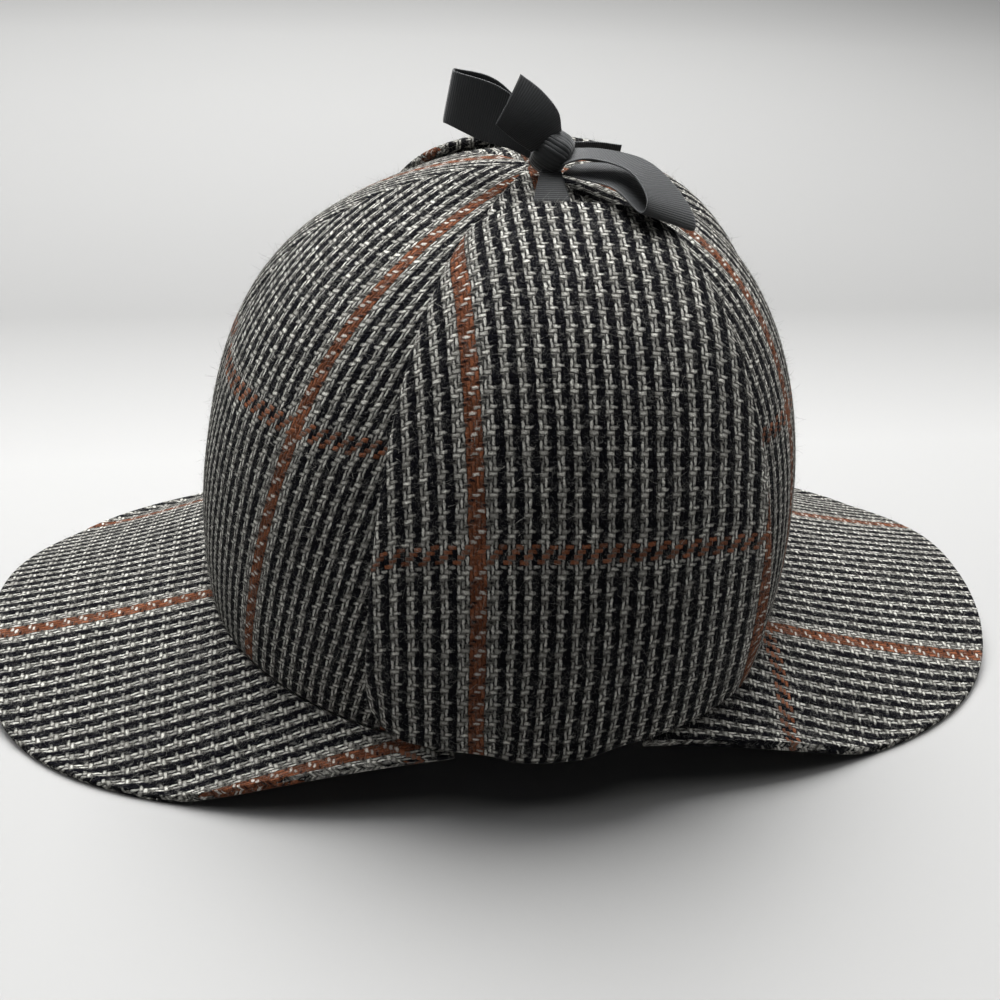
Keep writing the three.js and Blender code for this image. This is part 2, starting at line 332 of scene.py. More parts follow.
        # Uneven brightness from float to float
        lone = s.node("ShaderNodeTexWhiteNoise", noise_dimensions="3D")
        s.feed(lone.inputs["Vector"], s.combine(thread, cross, warp_up))
        bright = s.remap(lone.outputs["Value"], 0.0, 1.0, 0.42, 1.08)
        wide = float(self.ends_repeat)
        spot = s.math("SUBTRACT", wide, s.math("FLOORED_MODULO", end, wide))
        spot = s.math("ABSOLUTE", s.math("SUBTRACT", spot, 3.5))
        rust_end = s.math("LESS_THAN", spot, 2.0)
        light_end = s.math("LESS_THAN", s.math("FLOORED_MODULO", end, 4.0), 1.5)
        light_end = s.math("SUBTRACT", s.math("MAXIMUM", light_end, s.math("LESS_THAN", spot, 3.0)), rust_end)
        light_end = s.math("MAXIMUM", light_end, 0.0)
        strong = s.math("MAXIMUM", s.math("MAXIMUM", light_end, is_rust), s.math("MULTIPLY", rust_end, 0.8))
        bright = s.math("MULTIPLY", bright, s.choose(warp_up, s.choose(strong, 0.62, 1.06), 0.98))
        cloud = s.remap(s.noise(given["Grain"], 0.07, 2.0).outputs[0], 0.3, 0.7, 0.86, 1.1)
        bright = s.math("MULTIPLY", bright, cloud)
        # Colour of each yarn
        speck = s.remap(s.noise(seat, 0.55, 1.0).outputs[0], 0.66, 0.74, 0.0, 0.7)
        # Fibre streaks mix the light yarn with its painted-shade copy: partly real fibre tone, partly painted
        # shade between fibres
        light = s.blend(fibre, given["Light Shaded"], given["Light"])
        light = s.blend(speck, light, s.blend(fibre, given["Rust Deep"], given["Light"]))
        dark = s.blend(s.math("POWER", fibre, 4.0), given["Dark"], given["Dark Lift"])
        rust = s.blend(fibre, given["Rust Deep"], given["Rust"])
        colour = s.blend(is_rust, s.blend(is_light, dark, light), rust)
        colour = s.blend(1.0, colour, s.combine(bright, bright, bright), "MULTIPLY")
        # Painted shade at the yarn edges and between yarns: where the cover mask is low, the colour falls to
        # the under colour, which is near black, with light ends in their shaded copy and rust ends showing
        # through
        unshaded_yarn = s.math("MAXIMUM", unshaded_yarn, s.math("MULTIPLY", is_rust, s.remap(body, 0.3, 0.8, 0.0, 0.8)))
        light_in_gap_shade = s.math("MULTIPLY", light_end, s.choose(warp_up, 0.38, 0.0))
        rust_in_gap_shade = s.math("MULTIPLY", rust_end, s.choose(warp_up, 0.3, 0.08))
        under = s.blend(rust_in_gap_shade, s.blend(light_in_gap_shade, given["Dark"], given["Light Shaded"]), given["Rust"])
        colour = s.blend(unshaded_yarn, under, colour)
        # Stray hairs over the cloth
        hair = 0.0
        for scale, shift in ((0.5, 3.1), (0.8, 17.7), (1.2, 41.3)):
            field_at = s.vector("ADD", given["Grain"], (shift, 2 * shift, 0.0))
            line = s.math("ABSOLUTE", s.math("SUBTRACT", s.noise(field_at, scale, 1.0).outputs[0], 0.5))
            part = s.noise(s.vector("ADD", given["Grain"], (5 * shift, shift, 7.0)), 0.45, 1.0).outputs[0]
            line = s.math("MULTIPLY", s.remap(line, 0.0, 0.026, 1.0, 0.0), s.remap(part, 0.5, 0.6, 0.0, 1.0))
            hair = s.math("MAXIMUM", line, hair)
        stray = s.blend(0.78, given["Light"], given["Dark"])
        s.feed(out["Color"], s.blend(s.math("MULTIPLY", hair, 0.42), colour, stray))
        s.feed(out["Height"], s.math("MULTIPLY_ADD", ragged, 0.5, s.math("MULTIPLY_ADD", fibre, 0.2, yarn)))
        s.feed(out["Fibre"], fibre)
        return tree

    def material(self) -> bpy.types.Material:
        """Builds the tweed that every cloth piece wears.

        Returns:
            The material.
        """
        made = bpy.data.materials.new("tweed")
        made.use_nodes = True
        s = Sketch(made.node_tree)
        shader = made.node_tree.nodes["Principled BSDF"]
        grain = s.node("ShaderNodeUVMap", uv_map="grain").outputs[0]
        weave = s.node("ShaderNodeGroup", node_tree=self.weave_group())
        s.feed(weave.inputs["Grain"], grain)
        for name, colour in (
            ("Light", self.light),
            ("Light Shaded", self.light_shaded),
            ("Dark", self.dark),
            ("Dark Lift", self.dark_lift),
            ("Rust", self.rust),
            ("Rust Deep", self.rust_deep),
        ):
            weave.inputs[name].default_value = colour
        bump = s.node("ShaderNodeBump")
        bump.inputs["Strength"].default_value = 0.9
        bump.inputs["Distance"].default_value = self.relief
        s.feed(bump.inputs["Height"], weave.outputs["Height"])
        s.feed(shader.inputs["Base Color"], weave.outputs["Color"])
        s.feed(shader.inputs["Normal"], bump.outputs[0])
        s.feed(shader.inputs["Roughness"], s.remap(weave.outputs["Fibre"], 0.0, 1.0, self.roughness, 0.8))
        shader.inputs["Specular IOR Level"].default_value = 0.03
        shader.inputs["Sheen Weight"].default_value = self.sheen
        shader.inputs["Sheen Roughness"].default_value = 0.55
        shader.inputs["Sheen Tint"].default_value = (0.8, 0.8, 0.78, 1)
        return made


@dataclass(frozen=True)
class FuzzFinish:
    """Loose wool fibres that stand off the cloth."""

    pale: tuple = (0.5, 0.49, 0.44, 1)
    deep: tuple = (0.03, 0.03, 0.036, 1)

    def material(self) -> bpy.types.Material:
        """Builds the fibre material, which reads each fibre's own shade.

        Returns:
            The material.
        """
        made = bpy.data.materials.new("tweed_fuzz")
        made.use_nodes = True
        s = Sketch(made.node_tree)
        shader = made.node_tree.nodes["Principled BSDF"]
        shade = s.node("ShaderNodeAttribute", attribute_name="shade").outputs["Fac"]
        s.feed(shader.inputs["Base Color"], s.blend(shade, self.deep, self.pale))
        shader.inputs["Roughness"].default_value = 0.8
        shader.inputs["Specular IOR Level"].default_value = 0.2
        return made


@dataclass(frozen=True)
class RibbonFinish:
    """Black ribbed ribbon with a slight sheen."""

    face: tuple = (0.026, 0.0285, 0.030, 1)
    # Colour painted into the grooves between the ribs as shade
    rib_groove_shade: tuple = (0.007, 0.0075, 0.0085, 1)
    rib: float = 0.62
    relief: float = 0.00016
    roughness: float = 0.52
    sheen: float = 0.25

    def rib_group(self) -> bpy.types.NodeTree:
        """Builds the ribs, with painted shade in their grooves, as a group that reads millimetres along the
        ribbon.

        Returns:
            The node group, with Color and Height outputs.
        """
        tree = bpy.data.node_groups.new("ribbon_ribs", "ShaderNodeTree")
        tree.interface.new_socket("Grain", in_out="INPUT", socket_type="NodeSocketVector")
        tree.interface.new_socket("Face", in_out="INPUT", socket_type="NodeSocketColor")
        tree.interface.new_socket("Rib Groove Shade", in_out="INPUT", socket_type="NodeSocketColor")
        tree.interface.new_socket("Color", in_out="OUTPUT", socket_type="NodeSocketColor")
        tree.interface.new_socket("Height", in_out="OUTPUT", socket_type="NodeSocketFloat")
        s = Sketch(tree)
        given = s.node("NodeGroupInput").outputs
        out = s.node("NodeGroupOutput").inputs
        across, along, _ = s.separate(given["Grain"])
        drift = s.math("MULTIPLY_ADD", s.noise(given["Grain"], 0.5, 2.0).outputs[0], 0.16, along)
        rib = s.math("ABSOLUTE", s.math("SINE", s.math("MULTIPLY", drift, math.pi / self.rib)))
        rib = s.math("POWER", rib, 0.6)
        seat = s.combine(s.math("MULTIPLY", across, 5.0), s.math("MULTIPLY", along, 1.2), 0.0)
        thread = s.noise(seat, 1.6, 3.0)
        # Painted shade: the grooves between ribs fall to the darker hollow colour, times a random thread tone
        tone_and_painted_shade = s.math("MULTIPLY", rib, s.remap(thread.outputs[0], 0.25, 0.75, 0.65, 1.0))
        s.feed(out["Color"], s.blend(tone_and_painted_shade, given["Rib Groove Shade"], given["Face"]))
        s.feed(out["Height"], s.math("MULTIPLY_ADD", thread.outputs[0], 0.15, rib))
        return tree

    def material(self) -> bpy.types.Material:
        """Builds the ribbon material.

        Returns:
            The material.
        """
        made = bpy.data.materials.new("ribbon")
        made.use_nodes = True
        s = Sketch(made.node_tree)
        shader = made.node_tree.nodes["Principled BSDF"]
        grain = s.node("ShaderNodeUVMap", uv_map="grain").outputs[0]
        ribs = s.node("ShaderNodeGroup", node_tree=self.rib_group())
        s.feed(ribs.inputs["Grain"], grain)
        ribs.inputs["Face"].default_value = self.face
        ribs.inputs["Rib Groove Shade"].default_value = self.rib_groove_shade
        bump = s.node("ShaderNodeBump")
        bump.inputs["Strength"].default_value = 0.8
        bump.inputs["Distance"].default_value = self.relief
        s.feed(bump.inputs["Height"], ribs.outputs["Height"])
        s.feed(shader.inputs["Base Color"], ribs.outputs["Color"])
        s.feed(shader.inputs["Normal"], bump.outputs[0])
        shader.inputs["Roughness"].default_value = self.roughness
        shader.inputs["Specular IOR Level"].default_value = 0.4
        shader.inputs["Sheen Weight"].default_value = self.sheen
        shader.inputs["Sheen Roughness"].default_value = 0.35
        return made


@dataclass(frozen=True)
class Grain:
    """How the cloth's threads lie on a piece.

    Stripe and band are where the rust warp stripe and weft band are centred, in millimetres.
    Ease is how much wider the ends lie away from the line at calm, taper how much closer the
    picks lie further up, and sag how far the picks drop to the sides. Bow is how far the ends
    swing out away from the height at waist.
    """

    turn: float = 0.0
    stripe: float = 0.0
    band: float = 0.0
    end: float = 1.012
    pick: float = 1.36
    ease: float = 0.0
    calm: float = 0.0
    taper: float = 0.0
    sag: float = 0.0
    bow: float = 0.0
    waist: float = 110.0

    def _ends(self, across: Array) -> Array:
        """Count of ends from the calm line to a place across the cloth."""
        off = across - self.calm
        if self.ease == 0.0:
            return off / self.end
        return np.arctan(off * self.ease) / (self.ease * self.end)

    def _picks(self, along: Array) -> Array:
        """Count of picks from the lower edge to a place up the cloth."""
        if self.taper == 0.0:
            return along / self.pick
        return -np.log(np.maximum(1 - self.taper * along / self.pick, 0.05)) / self.taper

    def threads(self, across: Array, along: Array) -> Array:
        """Turns millimetres on the cloth into end and pick numbers.

        Args:
            across: Millimetres across the piece.
            along: Millimetres up the piece.

        Returns:
            End and pick numbers, side by side.
        """
        c, s = math.cos(math.radians(self.turn)), math.sin(math.radians(self.turn))
        across = across + self.bow * ((along - self.waist) / 60) ** 2
        along = along + self.sag * (across / 60) ** 2
        ends = self._ends(across * c + along * s) - self._ends(np.array(self.stripe)) - 3.0
        picks = self._picks(-across * s + along * c) - self._picks(np.array(self.band)) - 3.0
        return np.stack([ends, picks], -1)


@dataclass
class Sheet:
    """A closed sheet of cloth with rounded edges, shaped from two grids that meet all round."""

    name: str
    columns: int = 36
    rows: int = 56
    thickness: float = 2.0
    roll: float = 1.4
    edge_cells: int = 3
    slot: Slot = Slot.TWEED

    def middle(self, u: Array, v: Array) -> Array:
        """Points of the sheet's middle layer, in millimetres.

        Args:
            u: Share across the sheet.
            v: Share up the sheet.

        Returns:
            The points.
        """
        raise NotImplementedError

    def threads(self, points: Array) -> Array:
        """Pattern coordinates of a grid of points on one face.

        Args:
            points: Points by row and column, in millimetres.

        Returns:
            Two pattern numbers for each point.
        """
        raise NotImplementedError

    def normal(self, u: Array, v: Array) -> Array:
        """Directions out of the sheet's face.

        Args:
            u: Share across the sheet.
            v: Share up the sheet.

        Returns:
            Unit vectors.
        """
        step = 2e-3
        across = self.middle(np.clip(u + step, 0, 1), v) - self.middle(np.clip(u - step, 0, 1), v)
        up = self.middle(u, np.clip(v + step, 0, 1)) - self.middle(u, np.clip(v - step, 0, 1))
        return unit(np.cross(across, up))

    def _spread(self, cells: int, size: Array) -> tuple[Array, Array]:
        """Spaces grid lines over a width, closer where the edge rounds off.

        Args:
            cells: Number of cells over the width.
            size: Width of each line, in millimetres.

        Returns:
            Shares of the width, and how full the sheet is at each.
        """
        i = np.arange(cells + 1)[None, :]
        size = np.asarray(size, float)[:, None]
        roll = np.minimum(self.roll, 0.3 * size)
        near = np.minimum(i, cells - i)
        bend = np.minimum(near / self.edge_cells, 1.0) * np.pi / 2
        pitch = (size - 2 * roll) / (cells - 2 * self.edge_cells)
        inset = roll * (1 - np.cos(bend)) + np.maximum(near - self.edge_cells, 0) * pitch
        place = np.where(2 * i <= cells, inset, size - inset) / size
        return place, np.broadcast_to(np.sin(bend), place.shape)

    def layout(self) -> tuple[Array, Array, Array]:
        """Grid shares of the whole sheet and its fullness towards the edges.

        Returns:
            Shares across, shares up, and fullness, by row and column.
        """
        fine = np.linspace(0, 1, 81)
        spine = self.middle(np.full(81, 0.5), fine)
        tall = np.linalg.norm(np.diff(spine, axis=0), axis=1).sum()
        v, full_v = self._spread(self.rows, np.array([tall]))
        v = v[0]
        lines = self.middle(*np.meshgrid(fine, v))
        wide = np.linalg.norm(np.diff(lines, axis=1), axis=2).sum(1)
        u, full_u = self._spread(self.columns, wide)
        full = np.minimum(full_u, full_v[0][:, None])
        return u, np.broadcast_to(v[:, None], u.shape), full

    def face(self, side: int) -> Array:
        """Points of one face by row and column, in millimetres.

        Args:
            side: 1 for the outer face and -1 for the inner.

        Returns:
            The points.
        """
        u, v, full = self.layout()
        return self.middle(u, v) + self.normal(u, v) * (side * self.thickness / 2 * full)[..., None]

    def _grid(self, side: int) -> bpy.types.Object:
        """Adds a grid and moves it onto one face of the sheet.

        Args:
            side: 1 for the outer face and -1 for the inner.

        Returns:
            The grid object.
        """
        deselect_all()
        bpy.ops.mesh.primitive_grid_add(x_subdivisions=self.columns, y_subdivisions=self.rows, size=2.0)
        grid = bpy.context.active_object
        mesh = grid.data
        flat = np.empty(len(mesh.vertices) * 3)
        mesh.vertices.foreach_get("co", flat)
        flat = flat.reshape(-1, 3)
        i = np.rint((flat[:, 0] + 1) / 2 * self.columns).astype(int)
        j = np.rint((flat[:, 1] + 1) / 2 * self.rows).astype(int)
        points = self.face(side)
        pattern = self.threads(points)
        mesh.vertices.foreach_set("co", (points[j, i] * MM).ravel())
        corner = np.empty(len(mesh.loops), int)
        mesh.loops.foreach_get("vertex_index", corner)
        layer = mesh.uv_layers.active
        layer.name = "grain"
        layer.data.foreach_set("uv", pattern[j[corner], i[corner]].ravel())
        mesh.update()
        if side < 0:
            bpy.ops.object.mode_set(mode="EDIT")
            bpy.ops.mesh.select_all(action="SELECT")
            bpy.ops.mesh.flip_normals()
            bpy.ops.object.mode_set(mode="OBJECT")
        return grid

    def build(self) -> bpy.types.Object:
        """Joins the two faces into one closed piece and smooths it.

        Returns:
            The piece.
        """
        face, back = self._grid(1), self._grid(-1)
        deselect_all()
        back.select_set(True)
        face.select_set(True)
        bpy.context.view_layer.objects.active = face
        bpy.ops.object.join()
        bpy.ops.object.mode_set(mode="EDIT")
        bpy.ops.mesh.select_all(action="SELECT")
        bpy.ops.mesh.remove_doubles(threshold=1e-7)
        bpy.ops.object.mode_set(mode="OBJECT")
        face.name = self.name
        face.data.name = self.name
        finer = face.modifiers.new("finer", "SUBSURF")
        finer.levels = 1
        finer.render_levels = 1
        apply_modifiers(face)
        bpy.ops.object.shade_smooth()
        return face

    def dress(self, piece: bpy.types.Object, finish: bpy.types.Material, node: str) -> None:
        """Gives a piece its finish and its place in the part.

        Args:
            piece: The piece.
            finish: Its material.
            node: The solid that it stands for.
        """
        piece.data.materials.clear()
        piece.data.materials.append(finish)
        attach(piece, "root")
        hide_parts(node)


@dataclass(frozen=True)
class CrownForm:
    """The crown as a dome drawn out over an oval rim; share 0 is the rim and 1 the apex."""

    rim_half_length: float = 96.5
    rim_front_stretch: float = 5.0
    rim_half_width: float = 92.0
    rim_height: float = 24.0
    rise: float = 137.0
    roundness: float = 3.1
    shoulder: float = 1.82
    lean: float = -1.0
    fullness: float = 8.0
    tip_reach: float = 0.35
    apex_tip: float = 6.0
    apex_hole: float = 1.2
    wall: float = 2.0
    seam_gap: float = -0.3

    def rim_length(self, angle: Array) -> Array:
        """Half length of the rim, longer to the front."""
        return self.rim_half_length - self.rim_front_stretch * np.cos(angle)

    def radius(self, share: Array) -> Array:
        """Share of the rim's width that is left at a share of the way up."""
        return np.maximum(np.cos(np.clip(share, 0, 1) * np.pi / 2), 0) ** (2 / self.roundness)

    def dome(self, angle: Array, share: Array, puff: Array, puff_top: float, tip: float) -> Array:
        """Points of the dome.

        Args:
            angle: Turn about the hat's middle, in radians.
            share: Share of the way up.
            puff: How far the cloth stands out, in millimetres.
            puff_top: How much of the puff goes upwards near the top.
            tip: Height of the peak at the apex.

        Returns:
            The points, in millimetres.
        """
        r = self.radius(share)
        rise = np.sin(np.clip(share, 0, 1) * np.pi / 2) ** (2 / self.shoulder)
        x = (self.rim_length(angle) * r + puff + self.fullness * rise * r) * np.cos(angle) + self.lean * rise
        y = (self.rim_half_width * r + puff) * np.sin(angle)
        z = self.rim_height + self.rise * rise + np.minimum(share, 0) * self.rise
        z = z + tip * np.exp(-((r / self.tip_reach) ** 2)) + puff_top * puff * rise**3
        return np.stack([x, y, z], -1)


def puff_share(share: Array) -> Array:
    """How much of its puff a panel has at a share of the way up."""
    return np.sin(np.pi * np.clip(share, 0, 1)) ** 0.8


def surface_normal(surface: Callable[[Array, Array], Array], angle: Array, share: Array) -> Array:
    """Outward directions of a dome surface.

    Args:
        surface: The surface by angle and share.
        angle: Turns, in radians.
        share: Shares of the way up.

    Returns:
        Unit vectors.
    """
    step = 1e-3
    s = np.clip(share, 2 * step, 1 - 2 * step)
    across = surface(angle + step, s) - surface(angle - step, s)
    up = surface(angle, s + step) - surface(angle, s - step)
    return unit(np.cross(across, up))


def arc_threads(points: Array, grain: Grain) -> Array:
    """Lays cloth on a grid by arc lengths from its middle column.

    Args:
        points: Points by row and column, in millimetres.
        grain: How the threads lie.

    Returns:
        End and pick numbers.
    """
    middle = points.shape[1] // 2
    steps = np.linalg.norm(np.diff(points, axis=1), axis=2)
    across = np.concatenate([np.zeros((len(points), 1)), np.cumsum(steps, axis=1)], axis=1)
    across -= across[:, middle : middle + 1]
    rises = np.linalg.norm(np.diff(points[:, middle], axis=0), axis=1)
    along = np.concatenate([[0.0], np.cumsum(rises)])[:, None] + 0 * across
    return grain.threads(across, along)


@dataclass
class CrownPanel(Sheet):
    """One of the six panels of the crown, with its edges rolled into the seams."""

    start: float = 180.0
    puff: float = 3.5
    puff_top: float = 0.0
    grain: Grain = field(default_factory=Grain)
    form: CrownForm = field(default_factory=CrownForm)
    columns: int = 34
    rows: int = 56
    roll: float = 2.2

    def _surface(self, angle: Array, share: Array) -> Array:
        """Outer surface of the panel."""
        across = (np.degrees(angle) - self.start - 30) / 30
        puff = self.puff * np.maximum(1 - across * across, 0) * puff_share(share)
        return self.form.dome(angle, share, puff, self.puff_top, self.form.apex_tip)

    def middle(self, u: Array, v: Array) -> Array:
        """Points of the panel's middle layer.

        Args:
            u: Share from the first seam to the second.
            v: Share from the rim to the apex.

        Returns:
            The points, in millimetres.
        """
        form = self.form
        top = math.acos((form.apex_hole / form.rim_half_length) ** (form.roundness / 2)) / (math.pi / 2)
        share = top * (1 - (1 - np.asarray(v)) ** 1.6)
        inset = form.seam_gap / 2 / (form.rim_half_width * form.radius(share))
        angle = lerp(math.radians(self.start) + inset, math.radians(self.start + 60) - inset, np.asarray(u))
        sink = form.wall / 2
        return self._surface(angle, share) - sink * surface_normal(self._surface, angle, share)

    def threads(self, points: Array) -> Array:
        """End and pick numbers, by arc lengths from the panel's middle line."""
        return arc_threads(points, self.grain)


@dataclass
class EarFlap(Sheet):
    """An ear flap turned up over the crown."""

    side: Side = Side.LEFT
    front_angle: float = 121.5
    back_angle: float = 43.5
    top_front: tuple = (-0.045, -0.085)
    top_back: tuple = (0.1, -0.095)
    back_bow: tuple = (-0.03, -0.05)
    clear: float = 0.8
    tip: float = 4.0
    puff: float = 3.5
    puff_top: float = 1.1
    drop: float = 0.6
    over_peak: float = 2.4
    peak_end: float = 28.0
    grain: Grain = field(default_factory=Grain)
    form: CrownForm = field(default_factory=CrownForm)
    columns: int = 44
    rows: int = 72
    thickness: float = 3.0
    roll: float = 1.6

    def _surface(self, angle: Array, share: Array) -> Array:
        """Crown surface under the flap, kept full towards the flap's back edge."""
        off = np.minimum(np.degrees(angle) + 90, 0) / 30
        puff = self.puff * (1 - off * off) * puff_share(share)
        return self.form.dome(angle, share, puff, self.puff_top, self.tip)

    def _spot(self, u: Array, v: Array) -> tuple[Array, Array]:
        """Angle and share on the crown of a place on the flap.

        Args:
            u: Share from the front edge to the back edge.
            v: Share from the lower edge to the tied end.

        Returns:
            Angle in radians, and share of the way up.
        """
        angle = np.radians(lerp(-self.front_angle, -self.back_angle, u))
        k = 2 * u - 1
        reach = v * (1 - 0.07 * np.abs(k) ** 5)
        bow = np.sin(np.pi * reach) * u * u
        x = lerp(np.cos(angle), lerp(self.top_front[0], self.top_back[0], u), reach) + self.back_bow[0] * bow
        y = lerp(np.sin(angle), lerp(self.top_front[1], self.top_back[1], u), reach) + self.back_bow[1] * bow
        return np.arctan2(y, x), 1 - np.hypot(x, y)

    def middle(self, u: Array, v: Array) -> Array:
        """Points of the flap's middle layer.

        Args:
            u: Share from the front edge to the back edge.
            v: Share from the lower edge to the tied end.

        Returns:
            The points, in millimetres.
        """
        u, v = np.asarray(u, float), np.asarray(v, float)
        if self.side is Side.RIGHT:
            u = 1 - u
        angle, share = self._spot(u, v)
        share = np.maximum(share, 0)
        away = self.clear + self.thickness / 2
        p = self._surface(angle, share) + away * surface_normal(self._surface, angle, share)
        off_middle = np.abs(self.form.rim_half_length * np.cos(angle))
        over = smooth(self.peak_end - 20, self.peak_end - 8, off_middle)
        corner = 10 * smooth(0.8, 1.0, np.abs(2 * u - 1)) ** 2
        lift = (lerp(-self.drop, self.over_peak, over) + corner) * (1 - smooth(0.0, 0.2, v))
        p[..., 2] += lift
        if self.side is Side.RIGHT:
            p[..., 1] *= -1
        return p

    def threads(self, points: Array) -> Array:
        """End and pick numbers, by arc lengths from the flap's middle line."""
        return arc_threads(points, self.grain)


@dataclass
class Peak(Sheet):
    """A peak as a squared oval sheet that falls from the rim, lowest to the sides."""

    end: End = End.FRONT
    reach: float = 175.5
    centre: float = 9.0
    half_width: float = 90.0
    squareness: float = 2.7
    root: float = 28.0
    tip_height: float = 9.0
    low_at: float = 0.84
    flare: float = 1.15
    press: float = 2.2
    rim_gap: float = -0.4
    grain: Grain = field(default_factory=Grain)
    form: CrownForm = field(default_factory=CrownForm)
    columns: int = 90
    rows: int = 26
    thickness: float = 3.0
    roll: float = 1.5

    def _edge(self, turn: Array) -> Array:
        """Outer edge of the peak by its turn, before it is faced front or back.

        Args:
            turn: Turn along the edge, in radians.

        Returns:
            The points, in millimetres.
        """
        c = np.abs(np.cos(turn)) ** (2 / self.squareness)
        s = np.sign(turn) * np.abs(np.sin(turn)) ** (2 / self.squareness)
        across = np.abs(s)
        fall = np.sin(np.clip(across / self.low_at, 0, 1) * np.pi / 2) ** 2
        climb = np.clip((across - self.low_at) / (1 - self.low_at), 0, 1) ** 2
        z = lerp(self.tip_height, -self.press, fall) + (self.form.rim_height - 3 + self.press) * climb
        return np.stack([self.centre + (self.reach - self.centre) * c, self.half_width * s, z], -1)

    def middle(self, u: Array, v: Array) -> Array:
        """Points of the peak's middle layer.

        Args:
            u: Share round the rim.
            v: Share from the rim to the outer edge.

        Returns:
            The points, in millimetres.
        """
        u, v = np.broadcast_arrays(np.asarray(u, float), np.asarray(v, float))
        sign = self.end.value
        end_share = (self.root - self.centre) / (self.reach - self.centre)
        last_turn = math.acos(end_share ** (self.squareness / 2))
        last_angle = math.acos(self.root / self.form.rim_half_length)
        k = 1 - 2 * u
        angle = k * last_angle
        facing = 0.0 if self.end is End.BACK else math.pi
        gap = self.rim_gap
        inner = np.stack(
            [
                (self.form.rim_length(facing + angle) + gap) * np.cos(angle),
                (self.form.rim_half_width + gap) * np.sin(angle),
                np.full(angle.shape, self.form.rim_height - self.thickness / 2),
            ],
            -1,
        )
        outer = self._edge(k * last_turn)
        p = lerp(inner, outer, v[..., None])
        fall = outer[..., 2] + (inner[..., 2] - outer[..., 2]) * (1 - v) ** self.flare
        p[..., 2] = np.maximum(fall, 0) + self.thickness / 2
        p[..., 0] *= sign
        p[..., 1] *= sign
        return p

    def threads(self, points: Array) -> Array:
        """End and pick numbers, as the peak lies in plan, laid out from its middle row."""
        sign = self.end.value
        row = len(points) // 2
        steps = np.linalg.norm(np.diff(points, axis=0), axis=2)
        reach = np.concatenate([np.zeros((1, points.shape[1])), np.cumsum(steps, axis=0)])
        reach = (reach - reach[row])[..., None]
        flat = points[row, :, :2] + unit(points[-1, :, :2] - points[0, :, :2]) * reach
        return self.grain.threads(-sign * flat[..., 1], sign * flat[..., 0])


@dataclass
class Ribbon(Sheet):
    """A length of ribbon ruled between two edges, given at stations along it.

    A station is x, y, z of the lower edge, then x, y, z of the upper edge.
    """

    stations: Sequence[Sequence[float]] = ()
    cup: float = 0.0
    columns: int = 12
    rows: int = 60
    thickness: float = 0.6
    roll: float = 0.35
    edge_cells: int = 2
    slot: Slot = Slot.RIBBON

    def middle(self, u: Array, v: Array) -> Array:
        """Points of the ribbon's middle layer.

        Args:
            u: Share from the lower edge to the upper.
            v: Share along the ribbon.

        Returns:
            The points, in millimetres.
        """
        table = np.asarray(self.stations, float)
        last = len(table) - 1
        at = np.clip(np.asarray(v, float) * last, 0, last - 1e-9)
        i = np.floor(at).astype(int)
        f = (at - i)[..., None]
        a, b = table[np.maximum(i - 1, 0)], table[i]
        d, e = table[i + 1], table[np.minimum(i + 2, last)]
        m0 = (d - a) / np.where(i > 0, 2, 1)[..., None]
        m1 = (e - b) / np.where(i < last - 1, 2, 1)[..., None]
        row = (2 * f**3 - 3 * f**2 + 1) * b + (f**3 - 2 * f**2 + f) * m0
        row = row + (3 * f**2 - 2 * f**3) * d + (f**3 - f**2) * m1
        u = np.asarray(u, float)
        p = lerp(row[..., :3], row[..., 3:], u[..., None])
        p[..., 1] -= self.cup * 4 * u * (1 - u)
        return p

    def length(self) -> float:
        """Length along the ribbon's middle, in millimetres."""
        line = self.middle(np.full(400, 0.5), np.linspace(0, 1, 400))
        return float(np.linalg.norm(np.diff(line, axis=0), axis=1).sum())

    def area(self) -> float:
        """Area of one face, in square millimetres."""
        p = self.middle(*np.meshgrid(np.linspace(0, 1, 20), np.linspace(0, 1, 400)))
        a = np.cross(p[1:, 1:] - p[:-1, :-1], p[1:, :-1] - p[:-1, 1:])
        return float(np.linalg.norm(a, axis=-1).sum() / 2)

    def threads(self, points: Array) -> Array:
        """Millimetres across and along the ribbon."""
        return arc_threads(points, Grain(end=1.0, pick=1.0))


